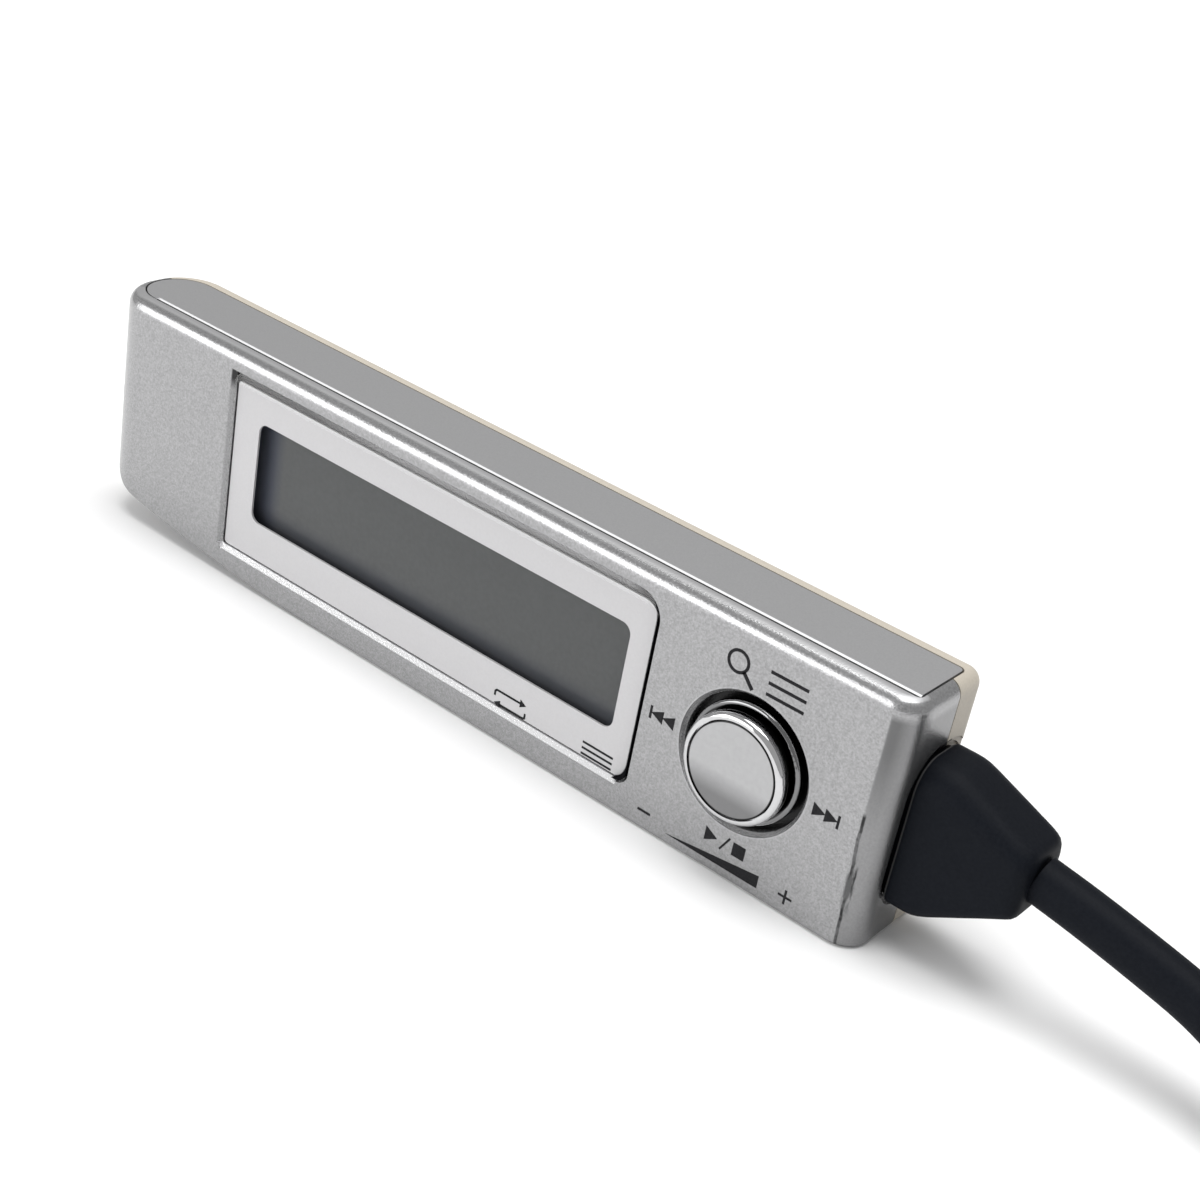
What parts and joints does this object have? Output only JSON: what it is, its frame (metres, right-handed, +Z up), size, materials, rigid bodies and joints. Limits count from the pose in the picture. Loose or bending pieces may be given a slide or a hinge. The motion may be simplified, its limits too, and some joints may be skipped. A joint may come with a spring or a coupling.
{
  "type": "wired remote control",
  "caption": "Slim wired remote control with a display window, a chrome tilting stick, side keys, a back clip, a headphone socket and a corded plug, for a portable disc player",
  "frame": {"origin": "middle of the standing side of the case with its stick and clip, on the floor", "axes": "+X along the case to the cord end, the face with the window and stick looks to -Y, +Z up"},
  "size_m": [0.2078, 0.0277, 0.0207],
  "materials": {
    "silver_paint": "satin silver paint on plastic, fine speckle",
    "cream_plastic": "warm off-white moulded plastic, satin",
    "grey_metal": "fine matt grey",
    "clear_window": "clear acrylic, polished",
    "white_print": "white printed mask",
    "display_glass": "grey reflective display, switched off",
    "clear_acrylic": "clear acrylic",
    "pink_rubber": "layered contact rubber",
    "board_green": "solder resist",
    "chip_black": "moulded black",
    "switch_metal": "pressed metal",
    "contact_gold": "gilt contact metal",
    "dark_plastic": "dark moulded plastic",
    "pin_steel": "bright steel",
    "knob_chrome": "bright chrome",
    "cap_satin": "satin metal",
    "cord_rubber": "black soft plastic, matt with a soft sheen",
    "lead_red": "insulated wire"
  },
  "bodies": {
    "case": {"front_shell": "silver_paint", "rear_shell": "cream_plastic", "top_trim": "grey_metal", "window_lens": "clear_window", "window_mask": "white_print", "lcd_panel": "display_glass", "light_guide": "clear_acrylic", "lcd_connector": "pink_rubber", "circuit_board": "board_green", "control_chips": "chip_black", "key_switches": "switch_metal", "stick_base": "switch_metal", "stick_contact": "contact_gold", "volume_pin": "pin_steel", "jack_housing": "dark_plastic", "jack_bush": "knob_chrome", "jack_contacts": "contact_gold", "case_screws": "pin_steel", "clip_pin": "pin_steel", "clip_spring": "pin_steel", "hold_switch": "switch_metal", "cord_boot": "cord_rubber", "cord_leads": "lead_red", "cord": "cord_rubber", "cord_coil": "cord_rubber", "coil_tie": "dark_plastic", "plug_lead": "cord_rubber", "plug_body": "cord_rubber", "plug_pin": "contact_gold", "plug_rings": "dark_plastic"},
    "gimbal": {"stick_gimbal": "dark_plastic"},
    "stick": {"stick_stem": "pin_steel", "stick_knob": "knob_chrome", "stick_cap": "cap_satin"},
    "repeat": {"repeat_key": "dark_plastic", "repeat_plunger": "dark_plastic"},
    "menu": {"menu_key": "dark_plastic", "menu_plunger": "dark_plastic"},
    "volume": {"volume_rocker": "dark_plastic", "volume_plungers": "dark_plastic"},
    "hold": {"hold_slider": "dark_plastic"},
    "clip": {"clip_lever": "cream_plastic"}
  },
  "joints": [
    {"name": "stick_tilt_updown", "type": "hinge", "parent": "case", "child": "gimbal", "pos_m": [0.0295, -0.00295, 0.0099], "axis": [1, 0, 0], "range_deg": [-5.5, 5.5], "stiffness_Nm_per_rad": 0.05},
    {"name": "stick_tilt_sideways", "type": "hinge", "parent": "gimbal", "child": "stick", "pos_m": [0.0295, -0.00295, 0.0099], "axis": [0, 0, 1], "range_deg": [-5.5, 5.5], "stiffness_Nm_per_rad": 0.05},
    {"name": "repeat_press", "type": "slide", "parent": "case", "child": "repeat", "axis": [0, 0, 1], "range_m": [0, 0.0004], "stiffness_N_per_m": 1500},
    {"name": "menu_press", "type": "slide", "parent": "case", "child": "menu", "axis": [0, 0, 1], "range_m": [0, 0.0004], "stiffness_N_per_m": 1500},
    {"name": "volume_rock", "type": "hinge", "parent": "case", "child": "volume", "pos_m": [0.0289, -0.00285, 0.0029], "axis": [0, 1, 0], "range_deg": [-3, 3], "stiffness_Nm_per_rad": 0.05},
    {"name": "hold_slide", "type": "slide", "parent": "case", "child": "hold", "axis": [1, 0, 0], "range_m": [0, 0.0025]},
    {"name": "clip_open", "type": "hinge", "parent": "case", "child": "clip", "pos_m": [0.006, 0.00515, 0.01035], "axis": [0, 0, -1], "range_deg": [0, 12], "stiffness_Nm_per_rad": 0.08, "springref_deg": -11.46, "deforming": ["clip_spring"]}
  ]
}
